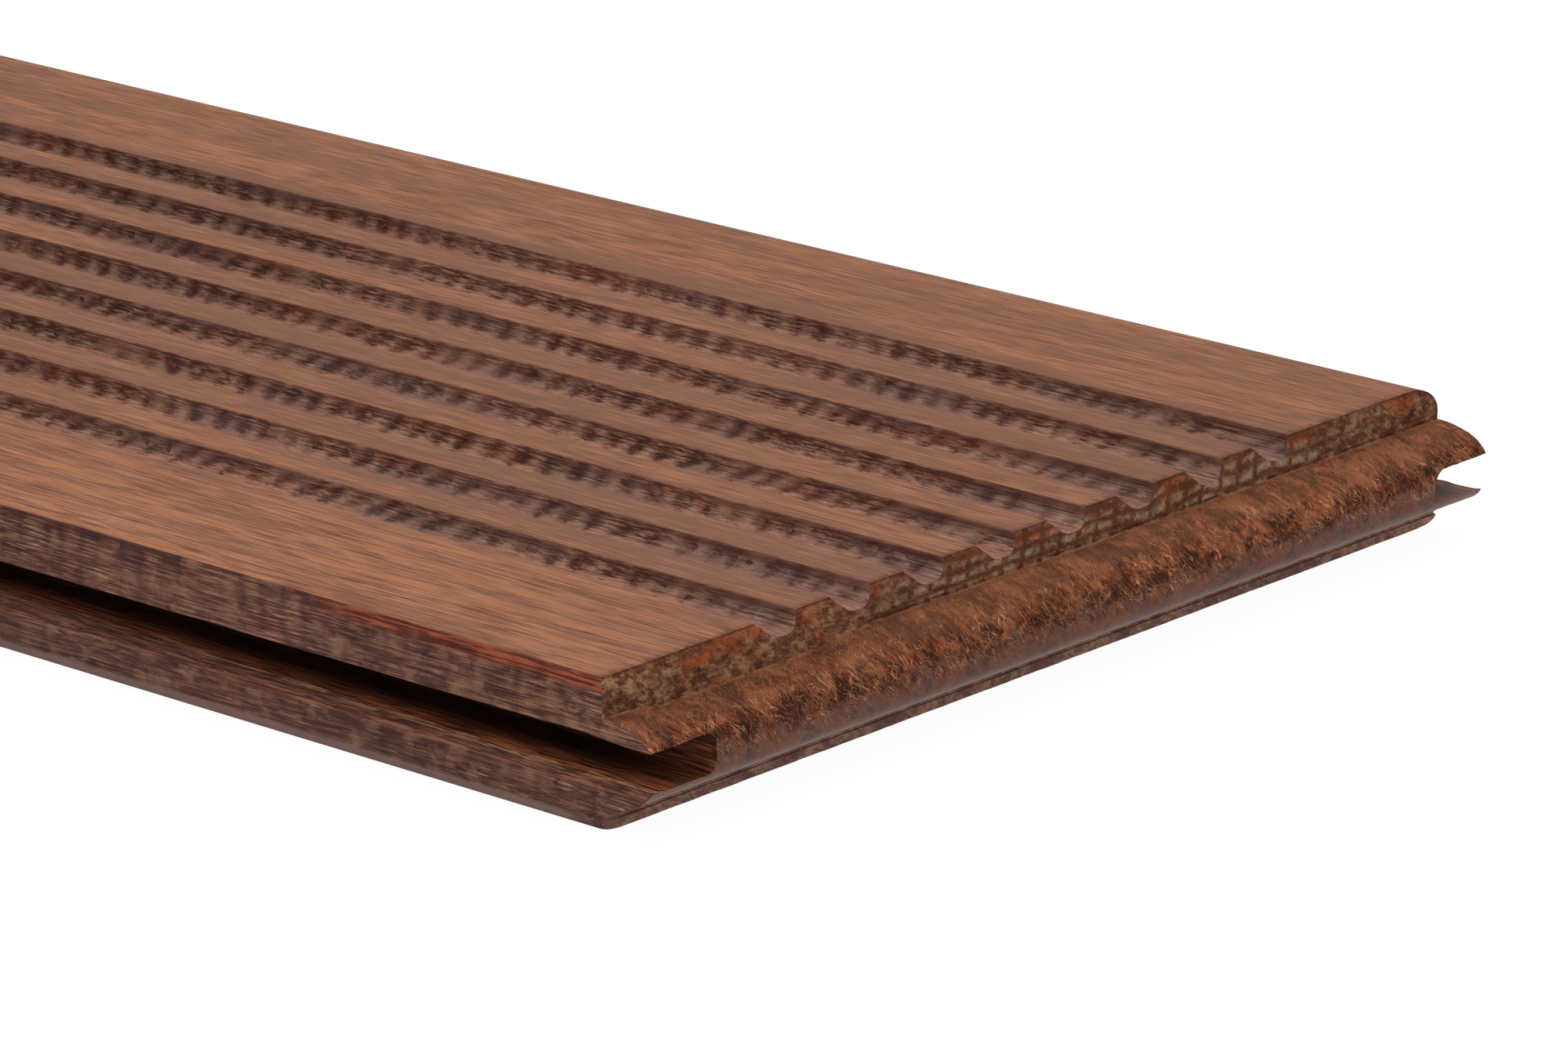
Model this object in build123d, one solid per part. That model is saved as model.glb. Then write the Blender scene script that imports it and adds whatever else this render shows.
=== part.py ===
from build123d import *
import os

# Strand woven bamboo decking board, grooved on top, clip slots in both long edges.
# Millimetres. X runs along the board towards the tongue, Z is up, and the
# origin is the middle of the board's footprint on the underside.

# Overall stock size. The length includes the tongue.
board_length = 1850.0
board_width = 150.0
board_thickness = 18.0

# Grooves in the top face. Each has one steep wall, on the +Y side,
# and one long slope, on the -Y side.
groove_count = 8
groove_pitch = 12.65
groove_width = 6.9
groove_depth = 2.6
groove_slope_run = 3.6
groove_slope_radius = 2.5
groove_wall_radius = 1.2
rib_edge_radius = 0.3

# The groove field sits this far off the middle of the board, towards its square edge.
field_offset = -2.35

# Clip slot in each long edge. It runs the whole length, through the tongue too.
near_slot_height = 5.1
far_slot_height = 4.3
slot_depth = 10.1
slot_lower_lip = 6.0
slot_corner_radius = 1.5
slot_lip_radius = 0.7

# The +Y edge is eased generously, the -Y edge is nearly square.
far_top_ease_width = 5.6
far_top_ease_height = 3.6
far_bottom_ease_width = 4.3
far_bottom_ease_height = 1.0
near_bottom_radius = 1.1

# Tongue on the +X end: an elliptical upper side, a blunt nose
# and an underside that slopes back to the bottom lip.
tongue_reach = 7.8
tongue_top = 13.3
tongue_nose = 10.0
tongue_root = 1.9
tongue_slope_rise = 3.5
tongue_nose_radius = 4.5

# A fine quirk parts the tongue's root from the bottom lip.
bottom_lip = 1.1
quirk_height = 0.4
quirk_depth = 0.6

# The groove in the -X end takes the tongue of the next board with this play.
joint_play = 0.3

near_side = -board_width / 2
far_side = board_width / 2
tip_x = board_length / 2
end_x = tip_x - tongue_reach
back_x = -board_length / 2

flat_far = far_side - far_top_ease_width
first_wall = field_offset - groove_pitch * (groove_count - 1) / 2 + groove_width / 2


def board_outline():
    with BuildSketch(Plane.YZ) as outline:
        with BuildLine():
            Line((near_side, near_bottom_radius), (near_side, board_thickness))
            Line((near_side, board_thickness), (flat_far, board_thickness))
            EllipticalCenterArc(
                (flat_far, board_thickness - far_top_ease_height),
                far_top_ease_width,
                far_top_ease_height,
                start_angle=0,
                arc_size=90,
            )
            Line(
                (far_side, board_thickness - far_top_ease_height),
                (far_side, far_bottom_ease_height),
            )
            EllipticalCenterArc(
                (far_side - far_bottom_ease_width, far_bottom_ease_height),
                far_bottom_ease_width,
                far_bottom_ease_height,
                start_angle=270,
                arc_size=90,
            )
            Line((far_side - far_bottom_ease_width, 0), (near_side + near_bottom_radius, 0))
            CenterArc(
                (near_side + near_bottom_radius, near_bottom_radius),
                near_bottom_radius,
                start_angle=180,
                arc_size=90,
            )
        make_face()
    return outline.sketch


def groove_cut(wall_y):
    floor = board_thickness - groove_depth
    with BuildSketch(Plane.YZ) as cut:
        with BuildLine():
            FilletPolyline(
                (wall_y - groove_width, board_thickness),
                (wall_y - groove_width + groove_slope_run, floor),
                (wall_y, floor),
                (wall_y, board_thickness),
                radius=(groove_slope_radius, groove_wall_radius),
            )
            Line((wall_y, board_thickness), (wall_y - groove_width, board_thickness))
        make_face()
    return cut.sketch


def slot_cut(edge_y, inner_y, height):
    ceiling = slot_lower_lip + height
    with BuildSketch(Plane.YZ) as cut:
        with BuildLine():
            FilletPolyline(
                (edge_y, slot_lower_lip),
                (inner_y, slot_lower_lip),
                (inner_y, ceiling),
                (edge_y, ceiling),
                radius=slot_corner_radius,
            )
            Line((edge_y, ceiling), (edge_y, slot_lower_lip))
        make_face()
    return cut.sketch


def end_outline(root_x, reach, crease_z, nose_z, root_z):
    knee_z = root_z + tongue_slope_rise
    upper = EllipticalCenterArc(
        (root_x, nose_z), reach, crease_z - nose_z, start_angle=0, arc_size=90
    )
    lower = FilletPolyline(
        (root_x + reach, nose_z),
        (root_x + reach, knee_z),
        (root_x, root_z),
        radius=tongue_nose_radius,
    )
    return upper, lower


def length_outline():
    with BuildSketch(Plane.XZ) as outline:
        with BuildLine():
            end_outline(end_x, tongue_reach, tongue_top, tongue_nose, tongue_root)
            Polyline(
                (end_x, tongue_root),
                (end_x, bottom_lip + quirk_height),
                (end_x - quirk_depth, bottom_lip + quirk_height),
                (end_x - quirk_depth, bottom_lip),
                (end_x, bottom_lip),
                (end_x, 0),
                (back_x, 0),
                (back_x, board_thickness),
                (end_x, board_thickness),
                (end_x, tongue_top),
            )
        make_face()
    return outline.sketch


def end_groove_cut():
    top = tongue_top + joint_play
    root = tongue_root - joint_play
    with BuildSketch(Plane.XZ) as cut:
        with BuildLine():
            end_outline(back_x, tongue_reach + joint_play, top, tongue_nose, root)
            Line((back_x, top), (back_x, root))
        make_face()
    return cut.sketch


section = board_outline()
for index in range(groove_count):
    section -= groove_cut(first_wall + index * groove_pitch)
section -= slot_cut(near_side, near_side + slot_depth, near_slot_height)
section -= slot_cut(far_side, far_side - slot_depth, far_slot_height)

# Ease the sharp top corners of the ribs and lands, and the lips of the slots.
crests = [
    corner
    for corner in section.vertices()
    if abs(corner.Z - board_thickness) < 0.001 and corner.Y < flat_far - 0.001
]
section = fillet(crests, rib_edge_radius)
lips = [
    corner
    for corner in section.vertices()
    if abs(abs(corner.Y) - far_side) < 0.001 and abs(corner.Z - slot_lower_lip) < 0.001
]
section = fillet(lips, slot_lip_radius)

body = extrude(section, amount=board_length / 2, both=True)
body &= extrude(length_outline(), amount=board_width, both=True)
body -= extrude(end_groove_cut(), amount=board_width, both=True)
body.label = "decking_board"

os.makedirs("parts", exist_ok=True)
export_step(body, "parts/decking_board.step")
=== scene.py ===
import math
from random import Random

import bmesh
import bpy
from mathutils import Matrix, Vector, noise


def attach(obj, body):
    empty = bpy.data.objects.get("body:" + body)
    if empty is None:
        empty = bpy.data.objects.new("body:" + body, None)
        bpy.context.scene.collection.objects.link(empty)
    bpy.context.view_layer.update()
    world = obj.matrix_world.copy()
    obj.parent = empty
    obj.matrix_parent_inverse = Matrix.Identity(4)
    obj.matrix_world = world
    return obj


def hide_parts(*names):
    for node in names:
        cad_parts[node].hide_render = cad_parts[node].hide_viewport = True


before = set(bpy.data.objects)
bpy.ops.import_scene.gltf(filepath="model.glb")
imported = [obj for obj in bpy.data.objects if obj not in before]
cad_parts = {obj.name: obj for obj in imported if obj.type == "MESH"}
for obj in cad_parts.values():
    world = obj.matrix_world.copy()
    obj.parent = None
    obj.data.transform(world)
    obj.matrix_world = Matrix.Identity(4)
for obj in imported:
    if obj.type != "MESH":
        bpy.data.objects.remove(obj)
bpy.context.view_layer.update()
scene = bpy.context.scene
scene.view_settings.view_transform = "Standard"

# Sizes of the decking board in millimetres, the same as the solid's
board = {
    "length": 1850.0, "width": 150.0, "thickness": 18.0,
    "grooves": 8, "groovePitch": 12.65, "grooveWidth": 6.9, "grooveDepth": 2.6,
    "slopeRun": 3.6, "slopeRadius": 2.5, "wallRadius": 1.2, "ribRadius": 0.3,
    "fieldOffset": -2.35,
    "slotFloor": 6.0, "slotDepth": 10.1, "nearSlot": 5.1, "farSlot": 4.3,
    "slotCorner": 1.5, "slotLip": 0.7,
    "easeWidth": 5.6, "easeHeight": 3.6, "footWidth": 4.3, "footHeight": 1.0,
    "nearFoot": 1.1,
    "reach": 7.8, "crease": 13.3, "nose": 10.0, "root": 1.9, "rise": 3.5,
    "noseRadius": 4.5, "lip": 1.1, "quirkHeight": 0.4, "quirkDepth": 0.6,
    "play": 0.3,
}

# How finely the board is cut up: steps in millimetres, and how many of them
mesh = {
    "fineStep": 1.25, "fineSteps": 208, "stretchLoops": 8, "capStep": 0.6, "backStep": 5.0,
    "endBlock": 12.0,
}

# The worked relief, in millimetres
relief = {
    "chatterPitch": 4.3, "chatterDepth": 0.26, "tearDepth": 0.22,
    "fuzz": 0.34, "endCells": 0.16, "lipSplinter": 0.3, "edgeWander": 0.09,
    "quirkDust": 0.3, "cornerWear": 3.0, "creaseSag": 0.8, "edgeChip": 0.3,
    "slotFoot": 0.8, "lipDroop": 0.4, "lipFall": 0.35,
}

# Loose fibres on the tongue: how many, and their sizes in millimetres
fibre = {"count": 1900, "shortest": 0.7, "longest": 3.0, "radius": 0.05, "lift": 0.13}

halfWidth = board["width"] / 2
topZ = board["thickness"]
floorZ = topZ - board["grooveDepth"]
tipX = board["length"] / 2
endX = tipX - board["reach"]
backX = -tipX
frontX = endX - 1.0
firstWall = (board["fieldOffset"] - board["groovePitch"] * (board["grooves"] - 1) / 2
             + board["grooveWidth"] / 2)


# The board's section, drawn in the YZ plane


def sectionCorners():
    # the outline's sharp corners, from the near foot round by the top to the far foot
    slotTop = board["slotFloor"] + board["nearSlot"]
    farTop = board["slotFloor"] + board["farSlot"]
    inner = halfWidth - board["slotDepth"]
    points = [(-halfWidth, 0.0), (-halfWidth, board["slotFloor"]), (-inner, board["slotFloor"]),
              (-inner, slotTop), (-halfWidth, slotTop), (-halfWidth, topZ)]
    for index in range(board["grooves"]):
        wall = firstWall + index * board["groovePitch"]
        start = wall - board["grooveWidth"]
        points += [(start, topZ), (start + board["slopeRun"], floorZ), (wall, floorZ), (wall, topZ)]
    points += [(halfWidth, topZ), (halfWidth, farTop), (inner, farTop),
               (inner, board["slotFloor"]), (halfWidth, board["slotFloor"]), (halfWidth, 0.0)]
    return points


def roundCorners(bm, wanted, radius, segments):
    # rounds the section's corners that the test picks, all with one radius
    corners = [v for v in bm.verts if wanted(v.co.y, v.co.z)]
    first, second = corners[0].link_edges[:2]
    here = corners[0].co
    angle = (first.other_vert(corners[0]).co - here).angle(second.other_vert(corners[0]).co - here)
    bmesh.ops.bevel(bm, geom=corners, offset=radius / math.tan(angle / 2), offset_type="OFFSET",
                    segments=segments, profile=0.5, affect="VERTICES", material=-1,
                    clamp_overlap=False)


def squashCorner(bm, wanted, lineZ, factor):
    # turns a round corner into a quarter ellipse by scaling it towards a line
    bmesh.ops.scale(bm, vec=(1.0, 1.0, factor), space=Matrix.Translation((0.0, 0.0, -lineZ)),
                    verts=[v for v in bm.verts if wanted(v.co.y, v.co.z)])


def cutLong(bm, wanted, spacing):
    # puts more points on the outline's long straight edges
    chosen = []
    for edge in bm.edges:
        middle = (edge.verts[0].co + edge.verts[1].co) / 2
        if edge.calc_length() > spacing * 1.05 and wanted(middle.y, middle.z):
            chosen.append(edge)
    for edge in chosen:
        cuts = math.ceil(edge.calc_length() / spacing) - 1
        bmesh.ops.subdivide_edges(bm, edges=[edge], cuts=cuts)


def isNear(value, target):
    return abs(value - target) < 0.02


def drawSection(bm, atX):
    corners = [bm.verts.new((atX, y, z)) for y, z in sectionCorners()]
    bm.faces.new(corners)
    inner = halfWidth - board["slotDepth"]
    walls = [firstWall + index * board["groovePitch"] for index in range(board["grooves"])]
    starts = [wall - board["grooveWidth"] + board["slopeRun"] for wall in walls]
    roundCorners(bm, lambda y, z: isNear(y, halfWidth) and isNear(z, topZ), board["easeWidth"], 9)
    squashCorner(bm, lambda y, z: y > halfWidth - board["easeWidth"] - 0.01 and z > 12.0, topZ,
                 board["easeHeight"] / board["easeWidth"])
    roundCorners(bm, lambda y, z: isNear(y, halfWidth) and isNear(z, 0.0), board["footWidth"], 6)
    squashCorner(bm, lambda y, z: y > halfWidth - board["footWidth"] - 0.01 and z < 5.0, 0.0,
                 board["footHeight"] / board["footWidth"])
    roundCorners(bm, lambda y, z: isNear(y, -halfWidth) and isNear(z, 0.0), board["nearFoot"], 5)
    roundCorners(bm, lambda y, z: isNear(abs(y), inner) and 8.0 < z < 12.0, board["slotCorner"], 4)
    roundCorners(bm, lambda y, z: isNear(abs(y), inner) and 5.0 < z < 8.0, relief["slotFoot"], 3)
    roundCorners(bm, lambda y, z: isNear(abs(y), halfWidth) and isNear(z, board["slotFloor"]),
                 board["slotLip"], 3)
    roundCorners(bm, lambda y, z: isNear(z, floorZ) and any(isNear(y, s) for s in starts),
                 board["slopeRadius"], 3)
    roundCorners(bm, lambda y, z: isNear(z, floorZ) and any(isNear(y, w) for w in walls),
                 board["wallRadius"], 4)
    slopes = [wall - board["grooveWidth"] for wall in walls]
    steep = walls + [-halfWidth]
    for group in (slopes, steep):
        roundCorners(bm, lambda y, z: isNear(z, topZ) and any(isNear(y, c) for c in group),
                     board["ribRadius"], 2)
    cutLong(bm, lambda y, z: isNear(z, topZ) and y < halfWidth - board["easeWidth"], 2.9)
    cutLong(bm, lambda y, z: floorZ + 0.01 < z < topZ - 0.01 and any(isNear(y, w) for w in walls), 0.42)
    cutLong(bm, lambda y, z: floorZ - 0.01 < z < topZ - 0.01 and abs(y) < 60.0, 1.3)
    cutLong(bm, lambda y, z: isNear(abs(y), halfWidth), 1.1)
    cutLong(bm, lambda y, z: z < 0.01, 16.0)
    cutLong(bm, lambda y, z: abs(y) > inner - 0.1 and 5.0 < z < 12.0, 2.6)


# The run of the board along X


def drawRun(bm, loop, step, count):
    # draws an edge loop back along X, cuts the run into equal steps and returns the last loop
    made = bmesh.ops.extrude_edge_only(bm, edges=loop)["geom"]
    moved = [part for part in made if isinstance(part, bmesh.types.BMVert)]
    bmesh.ops.translate(bm, vec=(-step * count, 0.0, 0.0), verts=moved)
    edges = [part for part in made if isinstance(part, bmesh.types.BMEdge)]
    last = [edge for edge in edges if edge.verts[0] in moved and edge.verts[1] in moved]
    if count > 1:
        long = [edge for vert in moved for edge in vert.link_edges if edge not in last]
        bmesh.ops.subdivide_edges(bm, edges=long, cuts=count - 1)
    return last


def drawBody(bm, loop):
    # fine steps where the photograph shows the grooves close, long ones towards the far end
    loop = drawRun(bm, loop, mesh["fineStep"], mesh["fineSteps"])
    left = frontX - backX - mesh["fineStep"] * mesh["fineSteps"] - mesh["endBlock"]
    for step, count in ((2.0, 5), (4.0, 5), (8.0, 5), (16.0, 6)):
        loop = drawRun(bm, loop, step, count)
        left -= step * count
    many = round(left / 32.0)
    loop = drawRun(bm, loop, left / many, many)
    return drawRun(bm, loop, mesh["endBlock"] / 4, 4)


def noseProfile(z, play):
    # how far the tongue stands out at height z, and the same for the groove that takes it
    reach = board["reach"] + play
    crease = board["crease"] + play
    root = board["root"] - play
    knee = root + board["rise"]
    radius = board["noseRadius"]
    slopeAngle = math.atan2(reach, board["rise"])
    tangent = radius * math.tan(slopeAngle / 2)
    arcTop = knee + tangent
    arcFoot = knee - tangent * math.cos(slopeAngle)
    if z >= crease or z <= root:
        return 0.0
    if z >= board["nose"]:
        share = (z - board["nose"]) / (crease - board["nose"])
        return reach * math.sqrt(max(0.0, 1.0 - share * share))
    if z >= arcTop:
        return reach
    if z >= arcFoot:
        return reach - radius + math.sqrt(radius * radius - (arcTop - z) ** 2)
    return reach * (z - root) / board["rise"]


def tongueEnd(y, z):
    quirkTop = board["lip"] + board["quirkHeight"]
    if board["lip"] + 0.001 < z < quirkTop - 0.001:
        return endX - board["quirkDepth"] + relief["quirkDust"]
    sag = relief["creaseSag"] * ease(y, -73.0, -64.0) * (1.0 - ease(y, -42.0, -28.0))
    if z > board["nose"]:
        worn = (board["crease"] - board["nose"]) / (board["crease"] - sag - board["nose"])
        z = min(board["crease"], board["nose"] + (z - board["nose"]) * worn)
    return endX + noseProfile(z, 0.0)


def heightLevels(play):
    # heights at which the end is cut, close together where its profile turns
    crease = board["crease"] + play
    levels = [board["nose"] + (crease - board["nose"]) * math.sin(math.radians(a))
              for a in (9, 18, 27, 36, 45, 53, 60, 66, 72, 77, 81, 84.5, 87.5)]
    levels += [crease, board["nose"]]
    levels += [board["nose"] - 0.42 * index for index in range(1, 14)]
    levels += [board["root"] - play + share * 2.2 for share in (0.0, 0.25, 0.5, 0.75)]
    return levels


def placesAcross(step):
    # places a step apart across the board's width
    places = [step - halfWidth]
    while places[-1] + step < halfWidth - 0.1:
        places.append(places[-1] + step)
    return places


def cutFaces(bm, faces, levels, normal):
    # cuts the faces square to the normal, at each level along it
    for level in levels:
        edges = dict.fromkeys(edge for face in faces for edge in face.edges)
        verts = dict.fromkeys(vert for face in faces for vert in face.verts)
        cut = bmesh.ops.bisect_plane(bm, geom=[*faces, *edges, *verts], dist=0.0002,
                                     plane_co=Vector(normal) * level, plane_no=normal)
        faces = [part for part in cut["geom"] if isinstance(part, bmesh.types.BMFace)]


def shapeTongue(bm, capX):
    # cuts the front cap into a fine grid and draws it out to the tongue's profile
    cap = [face for face in bm.faces if all(v.co.x > capX - 0.1 for v in face.verts)]
    cutFaces(bm, cap, placesAcross(mesh["capStep"]), (0.0, 1.0, 0.0))
    quirkTop = board["lip"] + board["quirkHeight"]
    levels = heightLevels(0.0) + [board["lip"], board["lip"] + 0.012, quirkTop - 0.012, quirkTop]
    levels += [board["crease"] + 0.45 * index for index in range(1, 11)]
    block = [face for face in bm.faces if all(v.co.x > frontX + 0.5 for v in face.verts)]
    cutFaces(bm, block, levels, (0.0, 0.0, 1.0))
    for vert in bm.verts:
        if vert.co.x > frontX + 0.001:
            share = (vert.co.x - frontX) / (capX - frontX)
            vert.co.x = frontX + share * (tongueEnd(vert.co.y, vert.co.z) - frontX)


def shapeEndGroove(bm):
    # sinks the back cap to the groove that takes the next board's tongue
    depth = mesh["endBlock"]
    cap = [face for face in bm.faces if all(v.co.x < backX + 0.1 for v in face.verts)]
    cutFaces(bm, cap, placesAcross(mesh["backStep"]), (0.0, 1.0, 0.0))
    block = [face for face in bm.faces if all(v.co.x < backX + depth + 0.1 for v in face.verts)]
    cutFaces(bm, block, heightLevels(board["play"]), (0.0, 0.0, 1.0))
    for vert in bm.verts:
        if vert.co.x < backX + depth - 0.1:
            share = (backX + depth - vert.co.x) / depth
            vert.co.x += share * noseProfile(vert.co.z, board["play"])


# The finishes' numbers, in the order in which their materials are added
finish = {"top": 0, "groove": 1, "side": 2, "slot": 3, "end": 4, "tongue": 5, "under": 6, "loose": 7}


def pickFinish(face):
    # which finish a face takes, from its place and the way it faces
    centre = face.calc_center_median()
    normal = face.normal
    inner = halfWidth - board["slotDepth"]
    if centre.x > frontX - 0.01 and abs(normal.x) > 0.05:
        flat = centre.x < endX + 0.1 and centre.z > board["nose"]
        torn = board["lip"] + 0.41 < centre.z < board["crease"] and not flat
        return finish["tongue" if torn else "end"]
    if centre.x > frontX and board["root"] < centre.z < board["crease"] and normal.x > 0.001:
        return finish["tongue"]
    if centre.x < backX + mesh["endBlock"] and abs(normal.x) > 0.3:
        return finish["end"]
    slotTop = board["slotFloor"] + board["nearSlot"]
    slotFoot = board["slotFloor"] - board["slotLip"]
    if inner - 0.05 < abs(centre.y) < halfWidth - 0.02 and slotFoot - 0.02 < centre.z < slotTop + 0.1:
        return finish["slot"]
    if centre.z < 0.02:
        return finish["under"]
    if abs(centre.y) > halfWidth - 0.02 or centre.z < 1.2 or centre.y < 0.35 - halfWidth:
        return finish["side"]
    if centre.z > topZ - 0.02:
        return finish["top"]
    if centre.y > halfWidth - board["easeWidth"]:
        return finish["top" if normal.z > 0.4 else "side"]
    return finish["groove"]


def ease(value, low, high):
    # a smooth step from 0 at low to 1 at high
    share = min(1.0, max(0.0, (value - low) / (high - low)))
    return share * share * (3.0 - 2.0 * share)


def roughen(bm):
    # moves the surface by the relief that tools and weather left; all sizes in millimetres
    tongue, endFace, groove, side = set(), set(), set(), set()
    for face in bm.faces:
        if face.material_index == finish["tongue"]:
            tongue.update(face.verts)
        elif face.material_index == finish["end"] and face.calc_center_median().x > endX - 0.05:
            endFace.update(face.verts)
        elif face.material_index == finish["groove"]:
            groove.update(face.verts)
        elif face.material_index in (finish["side"], finish["slot"]):
            side.update(face.verts)
    moves = {}
    for vert in tongue:
        moves[vert] = Vector(vert.normal) * -fuzzDepth(vert.co)
    for vert in endFace - tongue:
        chip = chipDepth(vert.co)
        moves[vert] = Vector((-cellDepth(vert.co) - chip, 0.0, -0.6 * chip * ease(vert.co.z, 17.8, 18.0)))
    for vert in groove - tongue - endFace:
        moves[vert] = grooveShift(vert.co)
    for vert in side - tongue - endFace - groove:
        moves[vert] = sideShift(vert.co)
    for vert, move in moves.items():
        vert.co += move
    for vert in bm.verts:
        if vert.co.x > endX - 2.0 and vert.co.z < board["root"] + 0.5:
            vert.co += footCorner(vert.co)
        if vert.co.x > endX - 4.0 and vert.co.y < -64.0 and 9.0 < vert.co.z < 13.0:
            vert.co.z -= droop(vert.co)


def droop(co):
    # the tongue's thin near lip over the slot hangs a little towards its tip
    out = ease(co.x, endX - 4.0, endX + 6.0) * ease(-co.y, 64.2, 66.5)
    return relief["lipDroop"] * out * (1.0 - ease(co.z, 11.4, 13.0))


def footCorner(co):
    # the bottom lip's near corner is rubbed round
    radius = relief["cornerWear"] * (1.0 - ease(co.z, 0.9, 2.3))
    ahead = radius - (endX - co.x)
    aside = radius - (co.y + halfWidth)
    reach = math.hypot(ahead, aside)
    if ahead <= 0.0 or aside <= 0.0 or reach <= radius:
        return Vector((0.0, 0.0, 0.0))
    return Vector((ahead * (radius / reach - 1.0), aside * (1.0 - radius / reach), 0.0))


def fuzzDepth(co):
    # torn fibre: deepest on the nose, nearly none low down where the cutter left it smooth
    band = 0.25 + 0.75 * ease(co.z, 5.0, 8.5) * (1.0 - 0.6 * ease(co.z, 11.5, 13.2))
    low = 0.5 + 0.5 * noise.noise(Vector((co.x * 0.35, co.y * 0.45, co.z * 0.35)))
    fine = 0.5 + 0.5 * noise.noise(Vector((co.x * 0.8, co.y * 1.5 + 40.0, co.z * 0.8)))
    depth = relief["fuzz"] * band * (0.55 * low + 0.6 * fine)
    return depth * ease(abs(co.z - board["crease"]), 0.0, 0.5)


def chipDepth(co):
    # small splinters gone from the top edge of the end, ribs and grooves alike
    high = ease(co.z, topZ - 0.8, topZ)
    split = noise.noise(Vector((co.y * 0.9, co.z * 0.5, 31.0)))
    return relief["edgeChip"] * high * ease(split, -0.1, 0.5)


def cellDepth(co):
    cells = noise.cell(Vector((co.y / 3.3, co.z / 1.7, 3.0)))
    soft = 0.5 + 0.5 * noise.noise(Vector((co.y * 0.7, co.z * 0.9, 8.0)))
    return relief["endCells"] * (0.5 * abs(cells) + 0.5 * soft)


def chatterMark(x, z, seed):
    # slanting tool marks across a groove's wall, uneven in strength and spacing
    wander = noise.noise(Vector((x * 0.09, seed * 7.3, 0.0))) * 1.6
    phase = (x + 0.55 * (z - floorZ) + wander) / relief["chatterPitch"]
    offset = abs(phase - math.floor(phase) - 0.5) * 2.0
    strength = ease(noise.noise(Vector((x * 0.045, seed * 3.1, 5.0))), -0.35, 0.3)
    return ease(offset, 0.1, 1.0) * strength


def grooveShift(co):
    index = round((co.y - firstWall + board["grooveWidth"] / 2) / board["groovePitch"])
    wall = firstWall + index * board["groovePitch"]
    depth = ease(topZ - co.z, 0.1, 1.2)
    mark = chatterMark(co.x, co.z, index)
    tear = 0.5 + 0.5 * noise.noise(Vector((co.x * 0.28, co.y * 0.8, co.z * 1.3)))
    amount = depth * (relief["chatterDepth"] * mark + relief["tearDepth"] * tear)
    if co.y > wall - 1.3:
        return Vector((0.0, amount - 0.12 * depth, 0.12 * depth * tear * ease(wall - co.y, 0.3, 1.2)))
    return Vector((0.0, 0.0, -amount * 0.3))


def sideShift(co):
    # splintered lip of the slot, and a faint wander of the side faces
    inward = -1.0 if co.y > 0 else 1.0
    outer = ease(abs(co.y), halfWidth - 1.8, halfWidth - 0.4)
    lip = ease(co.z, 4.9, 5.6) * (1.0 - ease(co.z, 6.15, 6.6)) * outer
    split = max(0.0, 0.25 + noise.noise(Vector((co.x * 0.16, co.y * 0.5, co.z * 2.4))))
    fine = max(0.0, 0.2 + noise.noise(Vector((co.x * 0.5, co.y, co.z * 3.0 + 20.0))))
    wander = 0.5 + 0.5 * noise.noise(Vector((co.x * 0.2, co.y * 0.1, co.z * 0.6)))
    flat = ease(abs(co.y), halfWidth - 0.05, halfWidth)
    depth = relief["lipSplinter"] * lip * (split + 0.6 * fine)
    if co.y < 0.0 and board["slotFloor"] - 0.75 < co.z < board["slotFloor"] + 0.1:
        depth += relief["lipFall"] * ease(-co.y, halfWidth - 3.0, halfWidth)
    return Vector((0.0, inward * (relief["edgeWander"] * wander * flat + 0.5 * depth), -depth))


def makeFibres():
    # loose fibres lying over the torn tongue: thin pointed cones, dragged round its profile
    chance = Random(11)
    bm = bmesh.new()
    high = board["crease"] - board["nose"]
    for _ in range(fibre["count"]):
        y = chance.uniform(0.8 - halfWidth, halfWidth - 0.8)
        angle = math.radians(chance.uniform(4.0, 86.0))
        drop = chance.uniform(0.0, 2.0) if chance.random() < 0.3 else 0.0
        if drop > 0.0:
            angle = 0.0
        z = board["nose"] + high * math.sin(angle) - drop
        slotTop = board["slotFloor"] + (board["nearSlot"] if y < 0.0 else board["farSlot"])
        if abs(y) > halfWidth - board["slotDepth"] - 2.0 and z < slotTop + 1.4:
            continue
        place = Vector((endX + board["reach"] * math.cos(angle), y, z))
        along = Vector((board["reach"] * math.sin(angle), 0.0, -high * math.cos(angle))).normalized()
        outward = Vector((math.cos(angle) / board["reach"], 0.0, math.sin(angle) / high)).normalized()
        lean = math.radians(45.0 - 70.0 * math.sin(angle) + chance.gauss(0.0, 15.0))
        lift = fibre["lift"] * chance.random() * math.sin(angle + 0.1)
        aim = along * math.cos(lean) + Vector((0.0, math.sin(lean), 0.0)) + outward * lift
        aim.normalize()
        length = chance.uniform(fibre["shortest"], fibre["longest"])
        middle = place - outward * 0.16 + aim * length / 2
        turned = Matrix.Translation(middle) @ aim.to_track_quat("Z", "Y").to_matrix().to_4x4()
        bmesh.ops.create_cone(bm, cap_ends=True, cap_tris=True, segments=3, radius1=fibre["radius"],
                              radius2=0.0, depth=length, matrix=turned)
    for face in bm.faces:
        face.material_index = finish["loose"]
        face.smooth = True
    for vert in bm.verts:
        vert.co.x = min(vert.co.x, tipX - 0.02)
        vert.co.y = min(max(vert.co.y, 0.1 - halfWidth), halfWidth - 0.1)
    held = bpy.data.meshes.new("looseFibres")
    bm.to_mesh(held)
    bm.free()
    return held


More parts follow.
